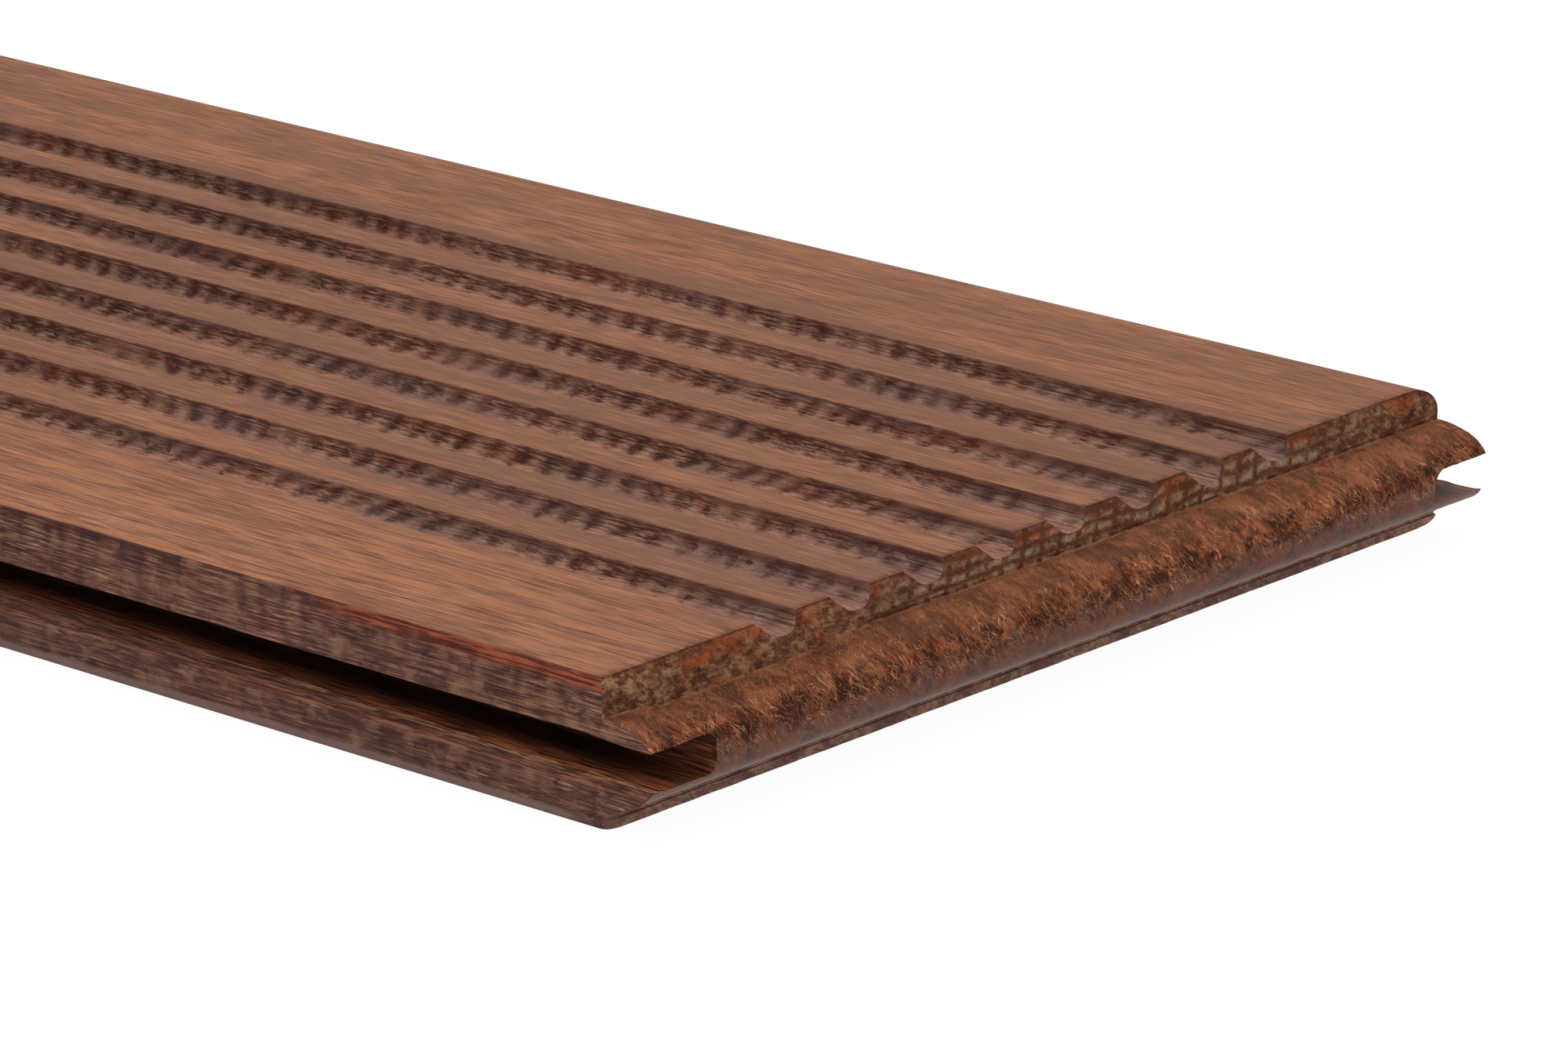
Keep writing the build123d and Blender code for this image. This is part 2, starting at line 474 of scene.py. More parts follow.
def buildBoard():
    bm = bmesh.new()
    capX = frontX + mesh["stretchLoops"]
    drawSection(bm, capX)
    rim = list(bm.edges)
    print("section points", len(rim))
    rim = drawRun(bm, rim, 1.0, mesh["stretchLoops"])
    shapeTongue(bm, capX)
    print("tongue shaped", len(bm.faces))
    rim = drawBody(bm, rim)
    bmesh.ops.contextual_create(bm, geom=rim)
    print("board drawn out", len(bm.faces))
    shapeEndGroove(bm)
    print("far end shaped", len(bm.faces))
    bmesh.ops.recalc_face_normals(bm, faces=bm.faces)
    bm.normal_update()
    for face in bm.faces:
        face.material_index = pickFinish(face)
        face.smooth = True
    roughen(bm)
    bmesh.ops.triangulate(bm, faces=[face for face in bm.faces if len(face.verts) > 4])
    loose = makeFibres()
    bm.from_mesh(loose)
    bpy.data.meshes.remove(loose)
    bmesh.ops.scale(bm, vec=(0.001, 0.001, 0.001), verts=bm.verts)
    data = bpy.data.meshes.new("deckingBoard")
    bm.to_mesh(data)
    bm.free()
    data.set_sharp_from_angle(angle=math.radians(38))
    piece = bpy.data.objects.new("deckingBoardFinish", data)
    scene.collection.objects.link(piece)
    print("board triangles", sum(len(face.vertices) - 2 for face in data.polygons))
    return piece


# The camera, where the photograph was taken: lens in millimetres, place in metres, angles in degrees

photoView = {"lens": 185.84, "place": (1.49124, -0.68519, 0.30082), "turn": 41.885, "dip": 17.563,
             "roll": -0.280}


def placeCamera():
    view = bpy.data.cameras.new("photoView")
    view.lens = photoView["lens"]
    view.sensor_width = 36.0
    view.clip_start = 0.01
    view.clip_end = 20.0
    camera = bpy.data.objects.new("photoView", view)
    scene.collection.objects.link(camera)
    camera.matrix_world = (Matrix.Translation(photoView["place"])
                           @ Matrix.Rotation(math.radians(photoView["turn"]), 4, "Z")
                           @ Matrix.Rotation(math.radians(90.0 - photoView["dip"]), 4, "X")
                           @ Matrix.Rotation(math.radians(photoView["roll"]), 4, "Z"))
    scene.camera = camera


placeCamera()


# Small helpers for building the materials


class Wire:
    # a node's output, held so that sums can be written with it as with a number
    def __init__(self, socket):
        self.socket = socket
        self.tree = socket.id_data

    def __add__(self, other):
        return calc("ADD", self, other)

    def __sub__(self, other):
        return calc("SUBTRACT", self, other)

    def __rsub__(self, other):
        return calc("SUBTRACT", other, self)

    def __mul__(self, other):
        return calc("MULTIPLY", self, other)

    def __truediv__(self, other):
        return calc("DIVIDE", self, other)

    def __abs__(self):
        return calc("ABSOLUTE", self)


def feed(socket, value):
    # gives a socket either a link or a plain value
    if isinstance(value, Wire):
        value.tree.links.new(value.socket, socket)
    elif value is not None:
        socket.default_value = value


def addNode(kind, values, output=0, **settings):
    # makes a node where its first wire comes from, feeds its inputs and returns one output
    tree = next(value.tree for value in values.values() if isinstance(value, Wire))
    node = tree.nodes.new(kind)
    for name, value in settings.items():
        setattr(node, name, value)
    for label, value in values.items():
        feed(node.inputs[label], value)
    return Wire(node.outputs[output])


def isVector(value):
    return isinstance(value, tuple) or isinstance(value, Wire) and value.socket.type == "VECTOR"


def calc(operation, first, second=None, **settings):
    kind = "ShaderNodeVectorMath" if isVector(first) or isVector(second) else "ShaderNodeMath"
    return addNode(kind, {0: first, 1: second}, operation=operation, **settings)


def joinAxes(x, y, z):
    return addNode("ShaderNodeCombineXYZ", {0: x, 1: y, 2: z})


def splitAxes(place):
    first = addNode("ShaderNodeSeparateXYZ", {0: place})
    return [Wire(output) for output in first.socket.node.outputs]


def chanceAt(place):
    return addNode("ShaderNodeTexWhiteNoise", {"Vector": place}, "Value")


def cloud(place, detail=3.0, roughness=0.55, distortion=0.0, scale=1.0):
    return addNode("ShaderNodeTexNoise", {"Vector": place, "Scale": scale, "Detail": detail,
                                          "Roughness": roughness, "Distortion": distortion}, "Fac")


def remap(value, low, high, outLow=0.0, outHigh=1.0):
    return addNode("ShaderNodeMapRange", {"Value": value, "From Min": low, "From Max": high,
                                          "To Min": outLow, "To Max": outHigh},
                   "Result", interpolation_type="SMOOTHSTEP")


def tone(colour):
    # a look's 0 to 255 colour as the linear one that nodes take; a wire stays as it is
    if isinstance(colour, Wire):
        return colour
    linear = [c / 255.0 / 12.92 if c <= 10.3 else ((c / 255.0 + 0.055) / 1.055) ** 2.4 for c in colour]
    return (linear[0], linear[1], linear[2], 1.0)


def blend(amount, first, second):
    # the Mix node's colours are its inputs 6 and 7, and the mixed colour is output 2
    return addNode("ShaderNodeMix", {"Factor": amount, 6: tone(first), 7: tone(second)}, 2,
                   data_type="RGBA")


class Paint:
    # a finish's colour: a ramp of its look's colours, with coats of others laid over it
    def __init__(self, look, value, **places):
        self.look = look
        self.colour = addNode("ShaderNodeValToRGB", {0: value})
        ramp = self.colour.socket.node.color_ramp
        while len(ramp.elements) < len(places):
            ramp.elements.new(0.5)
        for element, (name, place) in zip(ramp.elements, places.items()):
            element.position = place
            element.color = tone(look[name])

    def coat(self, amount, colour):
        # the colour is a name in the look, or a wire
        self.colour = blend(amount, self.colour, self.look.get(colour, colour))


def newGroup(name, **inputs):
    # a node group that takes the place on the board, and plain values with their usual settings
    group = bpy.data.node_groups.new(name, "ShaderNodeTree")
    group.interface.new_socket(name="Place", in_out="INPUT", socket_type="NodeSocketVector")
    for label, value in inputs.items():
        socket = group.interface.new_socket(name=label, in_out="INPUT", socket_type="NodeSocketFloat")
        socket.default_value = value
    given = group.nodes.new("NodeGroupInput")
    return group, [Wire(given.outputs[label]) for label in ("Place", *inputs)]


def closeGroup(group, **outputs):
    for label in outputs:
        group.interface.new_socket(name=label, in_out="OUTPUT", socket_type="NodeSocketFloat")
    result = group.nodes.new("NodeGroupOutput")
    for label, value in outputs.items():
        feed(result.inputs[label], value)
    return group


def useGroup(group, place, **values):
    node = place.tree.nodes.new("ShaderNodeGroup")
    node.node_tree = group
    for label, value in {"Place": place, **values}.items():
        feed(node.inputs[label], value)
    return {output.name: Wire(output) for output in node.outputs}


# Effects that several finishes share


def makeStrandGrain():
    # bamboo strands pressed along X: fine streaks, and broad bands that shift the tone
    group, (place, length, width, waver) = newGroup("strandGrain", Length=16.0, Width=0.4, Waver=0.6)
    drift = (cloud(place * (0.012, 0.06, 0.06), 2.0) - 0.5) * waver
    shifted = place + joinAxes(0.0, drift, drift)
    fine = shifted / joinAxes(length, width, width)
    streak = cloud(fine, 3.0, 0.62)
    hair = cloud(fine * (2.3, 2.1, 2.1) + (31.0, 17.0, 5.0), 2.0, 0.5)
    band = cloud(shifted * (0.011, 0.16, 0.16), 3.0, 0.5)
    return closeGroup(group, Streak=streak, Hair=remap(hair, 0.56, 0.74), Band=band)


def makeCrossChatter():
    # soft slanting smears across the grain, each groove with its own; they change from place to place
    group, (place, pitch, slant, width) = newGroup("crossChatter", Pitch=4.3, Slant=1.0, Width=0.6)
    x, y, z = splitAxes(place)
    row = calc("FLOOR", (y + 81.0) / board["groovePitch"])
    wander = (cloud(joinAxes(x * 0.06, row * 9.7, 0.0), 1.0) - 0.5) * 4.5
    tilt = remap(cloud(joinAxes(x * 0.012, row * 3.7, 4.0), 1.0), 0.35, 0.65, 0.15, 1.8) * slant
    shiver = (cloud(place * (0.6, 0.5, 1.3), 2.0) - 0.5) * 1.2
    turns = (x - (z - topZ) * tilt + (wander + shiver)) / pitch
    peak = abs(calc("FRACT", turns) - 0.5) * 2.0
    mark = remap(peak, 1.0 - width, 1.0)
    ragged = cloud(place * (0.9, 0.9, 1.7), 4.0, 0.65)
    lone = chanceAt(joinAxes(calc("FLOOR", turns + 0.5), row, 1.0))
    patchy = remap(cloud(joinAxes(x * 0.045, row * 5.3, 2.0), 2.0), 0.32, 0.52, 0.4, 1.0)
    mark = mark * remap(ragged, 0.32, 0.55, 0.4, 1.0) * remap(lone, 0.0, 1.0, 0.6, 1.0)
    block = chanceAt(joinAxes(calc("FLOOR", turns), row, 7.0))
    return closeGroup(group, Mark=mark * patchy, Scallop=peak, Block=block)


def makeStrandEnds():
    # the cut ends of the pressed strands: rows of squarish cells with soft dark joints
    group, (place, across, tall, joint) = newGroup("strandEnds", Across=3.3, Tall=1.75, Joint=0.5)
    x, y, z = splitAxes(place)
    bend = (cloud(place * (0.0, 0.09, 0.2), 1.0) - 0.5) * 1.8
    frayed = (cloud(place * (0.0, 1.2, 1.5), 3.0, 0.6) - 0.5) * 0.6
    course = z / tall + (bend + frayed)
    row = calc("FLOOR", course)
    offset = chanceAt(joinAxes(3.0, row, 1.0)) * 0.5
    column = y / across + (offset + frayed)
    shade = chanceAt(joinAxes(calc("FLOOR", column), row, 5.0))

    def fromEdge(value, size):
        return (0.5 - abs(calc("FRACT", value) - 0.5)) * size

    nearest = calc("MINIMUM", fromEdge(column, across), fromEdge(course, tall))
    return closeGroup(group, Joint=remap(nearest, 0.0, joint, 1.0, 0.0), Tone=shade,
                      Dome=remap(nearest, 0.0, 0.7))


def makeTornFibres():
    # fine hairs drawn round the tongue's profile, a felted nap and soft dark tufts
    group, (place, across, along, curl) = newGroup("tornFibres", Across=0.24, Along=2.2, Curl=1.2)
    x, y, z = splitAxes(place)

    def comb(slopeX, slopeZ, seed, spread):
        swirl = (cloud(place * (0.35, 0.35, 0.35) + (seed, seed, seed), 2.0) - 0.5) * curl
        lean = x * slopeX + z * slopeZ
        turned = y + lean + swirl * 3.0
        combed = joinAxes(x / (along * 2.2), turned / (across * spread), z / along)
        return combed + (seed, seed * 2.0, seed)

    nap = cloud(comb(0.5, 1.0, 0.0, 1.0), 3.0, 0.6)
    first = remap(cloud(comb(0.45, 1.2, 11.0, 0.8), 1.0, 0.4), 0.58, 0.7)
    second = remap(cloud(comb(0.9, 0.5, 23.0, 0.8), 1.0, 0.4), 0.6, 0.72)
    tuft = cloud(place * (0.2, 0.26, 0.34), 5.0, 0.68, 0.6)
    felt = cloud(place * (1.7, 2.4, 2.1), 4.0, 0.75)
    return closeGroup(group, Hair=calc("MAXIMUM", first, second), Nap=nap, Tuft=tuft, Felt=felt)


def makeGreyBloom():
    # patchy weathered haze and darker stains
    group, (place, size, stretch) = newGroup("greyBloom", Size=9.0, Stretch=2.5)
    patch = place / joinAxes(size * stretch, size, size)
    haze = cloud(patch, 4.0, 0.6, 0.3)
    stain = cloud(patch + (13.0, 29.0, 3.0), 4.0, 0.62, 0.4, scale=1.3)
    return closeGroup(group, Haze=remap(haze, 0.48, 0.68), Stain=remap(stain, 0.5, 0.7))


def startMaterial(name, specular):
    # a new material, and the place on the board in millimetres
    material = bpy.data.materials.new(name)
    material.use_nodes = True
    nodes = material.node_tree.nodes
    nodes["Principled BSDF"].inputs["Specular IOR Level"].default_value = specular
    source = Wire(nodes.new("ShaderNodeTexCoord").outputs["Object"])
    return material, addNode("ShaderNodeVectorMath", {0: source, "Scale": 1000.0}, operation="SCALE")


def finishMaterial(material, paint, roughness, height, depth, strength=0.7):
    bump = addNode("ShaderNodeBump", {"Height": height, "Distance": depth * 0.001, "Strength": strength})
    shader = material.node_tree.nodes["Principled BSDF"]
    feed(shader.inputs["Base Color"], paint.colour)
    feed(shader.inputs["Roughness"], roughness)
    feed(shader.inputs["Normal"], bump)
    return material


def makePlanedTop():
    look = {"dark": (110, 68, 49), "mid": (148, 97, 71), "light": (176, 120, 90), "gold": (182, 119, 80),
            "grey": (124, 86, 67), "scorch": (102, 64, 48), "frayed": (98, 56, 38)}
    material, place = startMaterial("planedTop", 0.06)
    grain = useGroup(strandGrain, place, Length=7.5, Width=0.23)
    strand = useGroup(strandGrain, place, Length=30.0, Width=2.4)
    bloom = useGroup(greyBloom, place, Size=7.0, Stretch=1.3)
    paint = Paint(look, grain["Streak"], dark=0.4, mid=0.5, light=0.6)
    paint.coat(remap(strand["Streak"], 0.5, 0.62, 0.0, 0.45), "gold")
    paint.coat(remap(strand["Streak"], 0.5, 0.38, 0.0, 0.42), "grey")
    paint.coat(grain["Hair"] * 0.4, "gold")
    paint.coat(remap(strand["Hair"], 0.0, 1.0, 0.0, 0.15), "dark")
    paint.coat(remap(grain["Band"], 0.5, 0.68, 0.0, 0.45), "grey")
    paint.coat(bloom["Stain"] * 0.2, "scorch")
    x, y, z = splitAxes(place)
    # the culms' nodes leave faint smudges across the grain, about a hand apart
    bent = cloud(joinAxes(x * 0.01, y * 0.09, 0.0), 2.0) * 30.0
    away = abs(calc("FRACT", (x + bent) / 210.0) - 0.62)
    some = cloud(joinAxes(x * 0.02, y * 0.06, 9.0), 2.0)
    node = remap(away, 0.035, 0.005) * remap(some, 0.46, 0.6, 0.0, 0.4)
    paint.coat(node, "scorch")
    inner = remap(y, -56.0, -48.0, 0.0, 0.72) * remap(y, 52.0, 46.0, 0.5, 1.0)
    inner *= remap(grain["Streak"], 0.44, 0.58, 1.25, 0.55)
    # each rib was planed from other strands, so it has a tone of its own
    ribTone = cloud(joinAxes(x * 0.007, y * 0.1, 5.0), 2.0)
    inner *= remap(ribTone, 0.38, 0.62, 0.55, 1.35)
    paint.coat(inner, "grey")
    ragged = cloud(place * (0.5, 1.1, 0.5), 4.0, 0.7)
    brink = x + (ragged - 0.5) * 5.0
    paint.coat(remap(brink, endX - 1.4, endX + 0.1, 0.0, 0.75), "frayed")
    rough = remap(grain["Streak"], 0.3, 0.7, 0.7, 0.52)
    height = grain["Streak"] + grain["Hair"] * 0.3
    return finishMaterial(material, paint, rough, height, 0.06, 0.5)


def makeGrooveWall():
    look = {"deep": (86, 53, 46), "mid": (124, 85, 70), "pale": (182, 144, 122), "mark": (58, 34, 33),
            "rust": (152, 80, 52), "lilac": (120, 94, 92), "gap": (182, 152, 134), "crest": (84, 47, 37),
            "tread": (152, 105, 84), "floor": (184, 134, 110)}
    material, place = startMaterial("grooveWall", 0.1)
    x, y, z = splitAxes(place)
    sunk = (topZ - z) / board["grooveDepth"]
    grain = useGroup(strandGrain, place, Length=2.6, Width=0.26)
    lines = useGroup(strandGrain, place, Length=16.0, Width=0.26)
    chatter = useGroup(crossChatter, place, Pitch=4.3, Slant=1.0, Width=1.0)
    nearEnd = remap(x, endX - 55.0, endX - 10.0)
    paint = Paint(look, grain["Streak"], deep=0.4, mid=0.5, pale=0.61)
    rusty = cloud(place * (0.035, 0.13, 0.4), 4.0, 0.6) - nearEnd * 0.06
    paint.coat(remap(rusty, 0.5, 0.64, 0.0, 0.45), "rust")
    dusty = cloud(place * (0.04, 0.11, 0.3) + (5.0, 31.0, 0.0), 4.0, 0.6) + nearEnd * 0.07
    paint.coat(remap(dusty, 0.5, 0.62, 0.0, 0.6), "lilac")
    block = remap(chatter["Block"], 0.45, 0.8) * remap(nearEnd, 0.0, 1.0, 0.3, 0.5)
    paint.coat(block, "pale")
    ragged = cloud(place * (0.9, 1.5, 2.2), 4.0, 0.65)
    # painted highlight: the middles of the chatter scallops, lower on the wall, are painted pale as if
    # they caught the light
    gap = remap(chatter["Scallop"], 0.7, 0.1) * remap(sunk, 0.2, 0.75)
    gap *= remap(ragged, 0.42, 0.58, 0.1, 0.55)
    paint.coat(gap, "gap")
    paint.coat(remap(lines["Streak"], 0.48, 0.38, 0.0, 0.6), "mark")
    slash = chatter["Mark"] * remap(nearEnd, 0.0, 1.0, 0.7, 0.45)
    paint.coat(slash, "mark")
    # the planed floor shows below a ragged line, deeper down where a mark crosses it
    torn = (ragged - 0.5) * 0.5
    border = chatter["Mark"] * 0.14 + (torn + 0.83)
    low = remap(sunk - border, -0.1, 0.1, 0.0, 0.9)
    tread = blend(remap(grain["Streak"], 0.4, 0.6), look["tread"], look["floor"])
    tread = blend(remap(dusty, 0.52, 0.62, 0.0, 0.5), tread, look["lilac"])
    paint.coat(low, tread)
    # the long slope was planed cleaner than the steep wall, and shows the marks only faintly
    across = calc("FRACT", (y - firstWall) / board["groovePitch"] + 40.0) * board["groovePitch"]
    slope = remap(across, 10.6, 9.2, 0.0, 0.72) * remap(across, 3.6, 5.0)
    paint.coat(slope, tread)
    # further from the end the grooves are darker
    paint.coat(remap(x, endX - 95.0, endX - 175.0, 0.0, 0.28), "mark")
    endLines = remap(lines["Streak"], 0.5, 0.42) * remap(x, endX - 16.0, endX)
    paint.coat(endLines * 0.4, "mark")
    crest = remap(z, remap(nearEnd, 0.0, 1.0, topZ - 0.5, topZ - 1.5), topZ - 0.15)
    crest *= remap(nearEnd, 0.0, 1.0, 0.5, 0.7)
    paint.coat(crest, "crest")
    height = grain["Streak"] - chatter["Mark"] * 0.6
    return finishMaterial(material, paint, remap(grain["Streak"], 0.3, 0.7, 0.88, 0.68), height, 0.16)


def makeSawnSide():
    look = {"deep": (72, 41, 37), "mid": (104, 66, 55), "pale": (154, 113, 90), "red": (88, 33, 26),
            "orange": (172, 86, 55), "foot": (140, 112, 105), "mark": (56, 32, 34), "low": (88, 57, 52),
            "fleck": (184, 150, 118), "edge": (66, 36, 33)}
    material, place = startMaterial("sawnSide", 0.1)
    x, y, z = splitAxes(place)
    grain = useGroup(strandGrain, place, Length=7.0, Width=0.24)
    thin = useGroup(strandGrain, place, Length=8.0, Width=0.42)
    chatter = useGroup(crossChatter, place, Pitch=3.3, Slant=0.1, Width=0.8)
    bloom = useGroup(greyBloom, place, Size=3.0, Stretch=1.4)
    paint = Paint(look, grain["Streak"], deep=0.38, mid=0.5, pale=0.64)
    below = remap(z, 6.5, 5.0)
    paint.coat(below * 0.45, "low")
    paint.coat(remap(chatter["Block"], 0.35, 0.8, 0.0, 0.32), "mark")
    paint.coat(bloom["Haze"] * 0.5, "pale")
    notch = chatter["Mark"] * remap(z, 13.5, 16.5, 0.3, 0.6)
    paint.coat(notch, "mark")
    stain = bloom["Stain"] * remap(x, endX - 60.0, endX - 40.0, 0.55, 0.8)
    paint.coat(stain, "mark")
    fleck = thin["Hair"] * remap(cloud(place * (0.07, 0.3, 0.3)), 0.45, 0.6, 0.1, 0.7)
    paint.coat(fleck, "fleck")
    # near the end, and in runs elsewhere, the top band shows red and orange strands
    runs = remap(cloud(place * (0.012, 0.0, 0.0), 1.0), 0.5, 0.6)
    runs = calc("ADD", runs, remap(x, endX - 50.0, endX - 38.0), use_clamp=True)
    top = remap(z, topZ - 2.4, topZ - 1.0) * runs
    paint.coat(top * 0.65, "red")
    lit = top * remap(grain["Streak"], 0.48, 0.6, 0.0, 0.75)
    paint.coat(lit, "orange")
    brink = remap(z + chatter["Block"] * 1.6, 17.9, 18.5, 0.0, 0.75)
    paint.coat(brink * (1.0 - runs), "edge")
    # paler towards the bottom: partly wear on the rounded foot, partly painted light for the floor's
    # bounce, less so near the end
    foot = remap(z, 1.7, 1.0) * remap(x, endX - 2.0, endX - 8.0, 0.2, 1.0)
    paint.coat(foot * 0.75, "foot")
    height = grain["Streak"] - chatter["Mark"] * 0.5
    return finishMaterial(material, paint, remap(grain["Streak"], 0.3, 0.7, 0.8, 0.65), height, 0.16)


def makeSlotInside():
    look = {"deep": (60, 28, 16), "mid": (116, 60, 36), "pale": (176, 104, 66), "lip": (200, 152, 118),
            "burnt": (18, 7, 4), "clean": (150, 122, 108), "sideDark": (80, 48, 42),
            "sidePale": (144, 96, 74)}
    material, place = startMaterial("slotInside", 0.1)
    x, y, z = splitAxes(place)
    grain = useGroup(strandGrain, place, Length=7.0, Width=0.22)
    bloom = useGroup(greyBloom, place, Size=1.3, Stretch=5.0)
    paint = Paint(look, grain["Streak"], deep=0.4, mid=0.5, pale=0.61)
    inside = halfWidth - abs(y)
    # a broken line of pale splinters runs along the floor, further in away from the end
    wander = (cloud(joinAxes(x * 0.06, 0.0, 7.0)) - 0.5) * 2.4
    line = remap(x, endX - 90.0, endX - 10.0, 2.9, 1.5) + wander
    depth = inside - line
    # painted shade: the slot's floor darkens to near black from just inside the splinter line to its
    # back, a little less near the open end
    burnt = remap(depth, 0.8, 5.2, 0.0, 0.9) * remap(x, endX + 4.0, endX - 8.0, 0.55, 1.0)
    paint.coat(burnt, "burnt")
    # painted shade: the slot darkens upwards under its ceiling
    paint.coat(remap(z, 9.0, 10.6, 0.0, 0.8), "burnt")
    farSide = remap(y, 0.0, 1.0, 0.0, 0.95) * remap(z, 8.0, 6.8)
    paint.coat(farSide, "clean")
    flat = remap(z, 8.0, 6.8)
    outside = blend(remap(grain["Streak"], 0.4, 0.62), look["sideDark"], look["sidePale"])
    paint.coat(flat * remap(depth, 0.3, -0.3), outside)
    near = remap(abs(depth), 0.75, 0.15) * remap(x, endX - 80.0, endX - 45.0, 0.2, 1.0)
    split = near * remap(grain["Streak"], 0.48, 0.58, 0.05, 0.9)
    paint.coat(split * flat, "lip")
    paint.coat(bloom["Stain"] * 0.4, "deep")
    rough = remap(grain["Streak"], 0.3, 0.7, 0.85, 0.7)
    return finishMaterial(material, paint, rough, grain["Streak"], 0.15)


def makeEndGrain():
    look = {"joint": (94, 53, 34), "beige": (162, 125, 95), "brown": (114, 71, 48), "rust": (164, 80, 46),
            "core": (166, 140, 116), "edge": (70, 36, 25), "lip": (198, 152, 132), "dark": (68, 44, 33),
            "plum": (124, 88, 84), "moss": (138, 110, 92), "corner": (96, 66, 58)}
    material, place = startMaterial("endGrain", 0.08)
    x, y, z = splitAxes(place)
    ends = useGroup(strandEnds, place, Across=3.3, Tall=1.75, Joint=0.8)
    bloom = useGroup(greyBloom, place, Size=2.4, Stretch=1.0)
    speck = cloud(joinAxes(x * 0.5, y * 0.9 + z * 0.7, z * 1.5), 5.0, 0.7)
    broad = cloud(place * (0.25, 0.28, 0.4), 3.0, 0.6)
    grainy = speck * 0.65 + broad * 0.35
    paint = Paint(look, grainy, dark=0.4, brown=0.49, beige=0.59)
    # rows of strand ends read clearly in the middle, and blur into torn fibre towards the near corner
    clear = remap(abs(y - 14.0), 56.0, 30.0)
    core = (1.0 - ends["Joint"]) * remap(z, 17.2, 15.4, 0.45, 0.9)
    core = core * remap(ends["Tone"], 0.05, 0.5, 0.3, 1.0) * remap(speck, 0.38, 0.52, 0.6, 1.0)
    paint.coat(core * clear, "core")
    stained = cloud(place * (0.3, 0.2, 0.4), 5.0, 0.72) + remap(z, 14.6, 17.0, -0.04, 0.09)
    stained = stained - remap(y, -58.0, -70.0, 0.0, 0.06) - remap(y, 46.0, 58.0, 0.0, 0.07)
    ribs = cloud(joinAxes(0.0, y * 0.065, 3.0), 1.0)
    stained += remap(ribs, 0.35, 0.65, -0.07, 0.05)
    rusty = remap(stained, 0.5, 0.66) * remap(speck, 0.4, 0.56, 0.35, 0.85)
    paint.coat(rusty, "rust")
    paint.coat(bloom["Haze"] * 0.55, "dark")
    joint = ends["Joint"] * clear * 0.8
    paint.coat(joint, "joint")
    rim = remap(z, topZ - 0.45, topZ - 0.1)
    paint.coat(rim * 0.6, "edge")
    crease = board["crease"]
    # painted shade: a dark band on the end just above its inner corner with the tongue, fading out
    # towards the near corner
    creaseShade = remap(z, crease + 0.5, crease + 0.3) * remap(z, crease + 0.02, crease + 0.15)
    creaseShade = creaseShade * remap(y, -46.0, -26.0, 0.0, 1.0) * remap(broad, 0.4, 0.55, 0.9, 0.3)
    paint.coat(creaseShade, "edge")
    # the end's bottom lip: its own pale, mossy and plum tones, also painted very light to stand for the
    # light bounced up from the floor; darker at the near corner
    foot = remap(z, 2.2, 1.6)
    footToneAndBounce = blend(remap(speck, 0.42, 0.6), look["lip"], look["moss"])
    footToneAndBounce = blend(remap(broad, 0.46, 0.6, 0.0, 0.7), footToneAndBounce, look["plum"])
    footToneAndBounce = blend(remap(y, 4.0 - halfWidth, 1.0 - halfWidth, 0.0, 0.8), footToneAndBounce, look["corner"])
    paint.coat(foot, footToneAndBounce)
    height = ends["Dome"] * clear + speck * 2.0
    return finishMaterial(material, paint, remap(speck, 0.3, 0.7, 0.9, 0.7), height, 0.2)


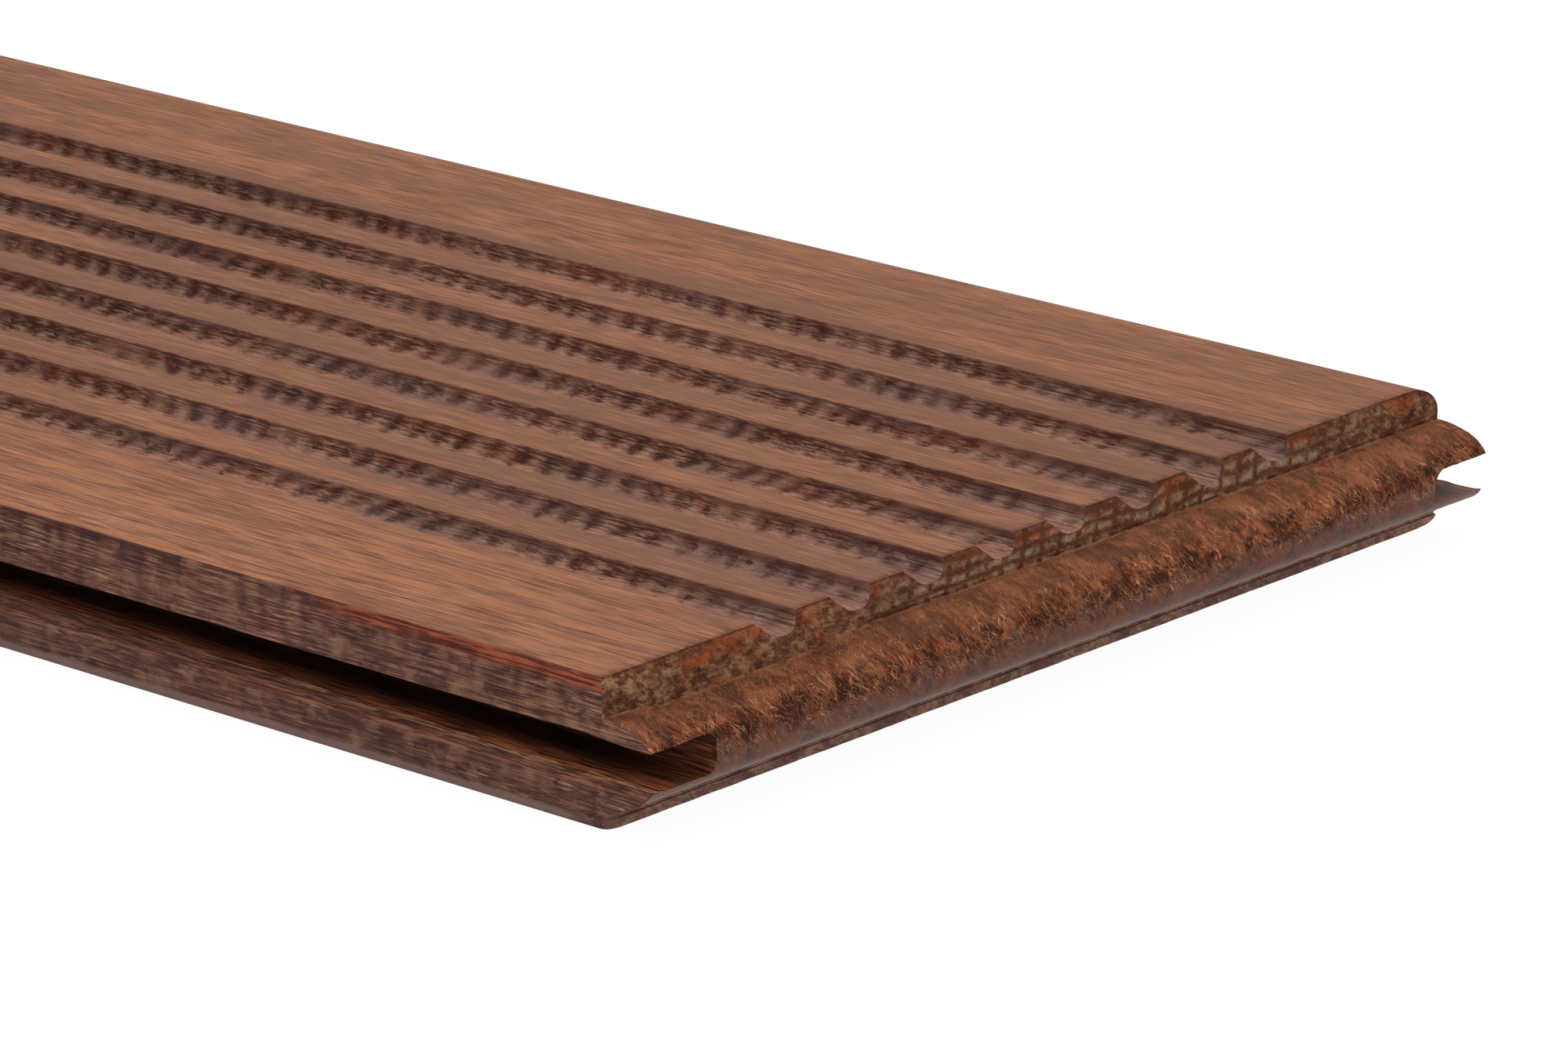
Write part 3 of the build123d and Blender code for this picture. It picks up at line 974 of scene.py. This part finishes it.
def makeTongueNap():
    look = {"rust": (102, 47, 29), "tan": (146, 83, 54), "hair": (204, 142, 102), "tuft": (42, 20, 14),
            "grey": (122, 92, 80), "smooth": (98, 66, 55), "orange": (160, 70, 40), "plum": (60, 40, 40),
            "straw": (130, 87, 61), "burnt": (60, 29, 20), "sand": (160, 97, 65),
            "bleached": (160, 108, 74)}
    material, place = startMaterial("tongueNap", 0.12)
    x, y, z = splitAxes(place)
    fibres = useGroup(tornFibres, place, Across=0.24, Along=1.5, Curl=1.2)
    bloom = useGroup(greyBloom, place, Size=4.0, Stretch=1.0)
    mixed = fibres["Nap"] * 0.8 + fibres["Felt"] * 0.2
    paint = Paint(look, mixed, tuft=0.4, rust=0.485, tan=0.57)
    paint.coat(bloom["Stain"] * 0.55, "orange")
    paint.coat(bloom["Haze"] * 0.5, "straw")
    blotch = cloud(place * (0.16, 0.2, 0.24), 5.0, 0.7, 0.4)
    paint.coat(remap(blotch, 0.5, 0.4, 0.0, 0.75), "burnt")
    paint.coat(remap(blotch, 0.5, 0.62, 0.0, 0.6), "sand")
    crown = remap(z, 11.2, 12.8)
    paint.coat(crown * 0.35, "straw")
    belt = remap(z, 7.0, 8.6) * remap(z, 12.4, 11.0)
    dark = belt * remap(fibres["Tuft"], 0.46, 0.58)
    shade = blend(remap(z, 9.8, 8.6), look["tuft"], look["plum"])
    paint.coat(dark * 0.85, shade)
    lowEdge = z + (fibres["Tuft"] - 0.5) * 9.0
    smooth = remap(lowEdge, 10.0, 8.0)
    rubbed = cloud(place * (0.4, 0.45, 0.35), 4.0, 0.65)
    worn = blend(remap(rubbed, 0.5, 0.62, 0.0, 0.75), look["smooth"], look["rust"])
    worn = blend(remap(rubbed, 0.49, 0.38, 0.0, 0.75), worn, look["plum"])
    paint.coat(smooth * 0.85, worn)
    # painted reflection: the tongue's underside, turned to the white floor, is painted grey for the
    # floor's sheen on it
    paint.coat(remap(z, 6.2, 4.8, 0.0, 0.75), "grey")
    hairy = fibres["Hair"] * remap(z, 6.5, 9.0, 0.12, 0.75) * remap(z, 13.0, 11.6, 0.5, 1.0)
    hairy *= remap(blotch, 0.42, 0.56, 0.4, 1.1)
    paint.coat(hairy, "hair")
    # painted highlight: a pale line on the tongue along its crease with the end
    creaseHighlightLine = remap(x, endX + 0.7, endX + 0.25) * remap(fibres["Tuft"], 0.4, 0.6)
    paint.coat(creaseHighlightLine, "bleached")
    calm = remap(smooth, 0.0, 1.0, 1.0, 0.15)
    height = (mixed + fibres["Hair"] * 0.4) * calm
    rough = remap(smooth, 0.0, 1.0, 0.9, 0.5)
    return finishMaterial(material, paint, rough, height, 0.3, 0.8)


def makeLooseFibre():
    look = {"shade": (96, 52, 32), "bright": (186, 126, 84)}
    material, place = startMaterial("looseFibre", 0.1)
    mottle = cloud(place * (0.7, 0.9, 0.7))
    paint = Paint(look, mottle, shade=0.42, bright=0.66)
    return finishMaterial(material, paint, remap(mottle, 0.3, 0.7, 0.85, 0.6), mottle, 0.05)


def makeUnderside():
    look = {"dark": (84, 54, 44), "mid": (118, 80, 64), "light": (140, 100, 80)}
    material, place = startMaterial("underside", 0.3)
    grain = useGroup(strandGrain, place, Length=18.0, Width=0.6)
    bloom = useGroup(greyBloom, place, Size=14.0, Stretch=3.0)
    paint = Paint(look, grain["Streak"], dark=0.3, mid=0.5, light=0.72)
    paint.coat(bloom["Stain"] * 0.4, "dark")
    rough = remap(grain["Streak"], 0.3, 0.7, 0.75, 0.6)
    return finishMaterial(material, paint, rough, grain["Streak"], 0.08)


# The soft white studio

studio = {"world": 0.72, "key": 10.5, "keySize": 1.6, "fill": 4.0, "floorGlow": 0.92}


def mixShaders(amount, first, second, output):
    shaders = {1: Wire(first.outputs[0]), 2: Wire(second.outputs[0])}
    feed(output.inputs[0], addNode("ShaderNodeMixShader", {0: amount, **shaders}))


def makeWorld():
    world = bpy.data.worlds.new("studio")
    scene.world = world
    world.use_nodes = True
    tree = world.node_tree
    light = tree.nodes["Background"]
    light.inputs["Color"].default_value = (1.0, 1.0, 1.0, 1.0)
    light.inputs["Strength"].default_value = studio["world"]
    seen = tree.nodes.new("ShaderNodeBackground")
    seen.inputs["Color"].default_value = (1.0, 1.0, 1.0, 1.0)
    seen.inputs["Strength"].default_value = 1.0
    path = tree.nodes.new("ShaderNodeLightPath").outputs
    mixShaders(Wire(path["Is Camera Ray"]), light, seen, tree.nodes["World Output"])


def makeFloor():
    # a wide pale floor just under the board; the camera sees it nearly white, with the soft shadow kept
    bm = bmesh.new()
    bmesh.ops.create_grid(bm, x_segments=2, y_segments=2, size=30.0)
    bmesh.ops.translate(bm, vec=(0.0, 0.0, -0.00005), verts=bm.verts)
    data = bpy.data.meshes.new("paleFloor")
    bm.to_mesh(data)
    bm.free()
    floor = bpy.data.objects.new("paleFloor", data)
    scene.collection.objects.link(floor)
    material = bpy.data.materials.new("paleFloor")
    material.use_nodes = True
    tree = material.node_tree
    tree.nodes.remove(tree.nodes["Principled BSDF"])
    lit = tree.nodes.new("ShaderNodeBsdfDiffuse")
    lit.inputs["Color"].default_value = (0.82, 0.82, 0.82, 1.0)
    glow = tree.nodes.new("ShaderNodeEmission")
    glow.inputs["Strength"].default_value = 1.04
    path = tree.nodes.new("ShaderNodeLightPath").outputs
    mirror = calc("MAXIMUM", Wire(path["Is Glossy Ray"]), Wire(path["Is Transmission Ray"]))
    seen = calc("MAXIMUM", Wire(path["Is Camera Ray"]), mirror)
    mixShaders(seen * studio["floorGlow"], lit, glow, tree.nodes["Material Output"])
    data.materials.append(material)


def makeLamp(name, power, size, place, target):
    light = bpy.data.lights.new(name, "AREA")
    light.energy = power
    light.size = size
    lamp = bpy.data.objects.new(name, light)
    scene.collection.objects.link(lamp)
    lamp.location = place
    lamp.rotation_euler = (Vector(target) - Vector(place)).to_track_quat("-Z", "Y").to_euler()


makeWorld()
makeFloor()
makeLamp("keyLamp", studio["key"], studio["keySize"], (0.6, 0.35, 1.7), (0.75, 0.0, 0.0))
makeLamp("fillLamp", studio["fill"], 1.0, (1.9, -1.2, 0.9), (0.8, 0.0, 0.0))
print("studio ready")

plank = buildBoard()
strandGrain = makeStrandGrain()
crossChatter = makeCrossChatter()
strandEnds = makeStrandEnds()
tornFibres = makeTornFibres()
greyBloom = makeGreyBloom()
for makeLook in (makePlanedTop, makeGrooveWall, makeSawnSide, makeSlotInside, makeEndGrain,
                 makeTongueNap, makeUnderside, makeLooseFibre):
    plank.data.materials.append(makeLook())
print("finishes made")
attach(plank, "root")
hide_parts("decking_board")
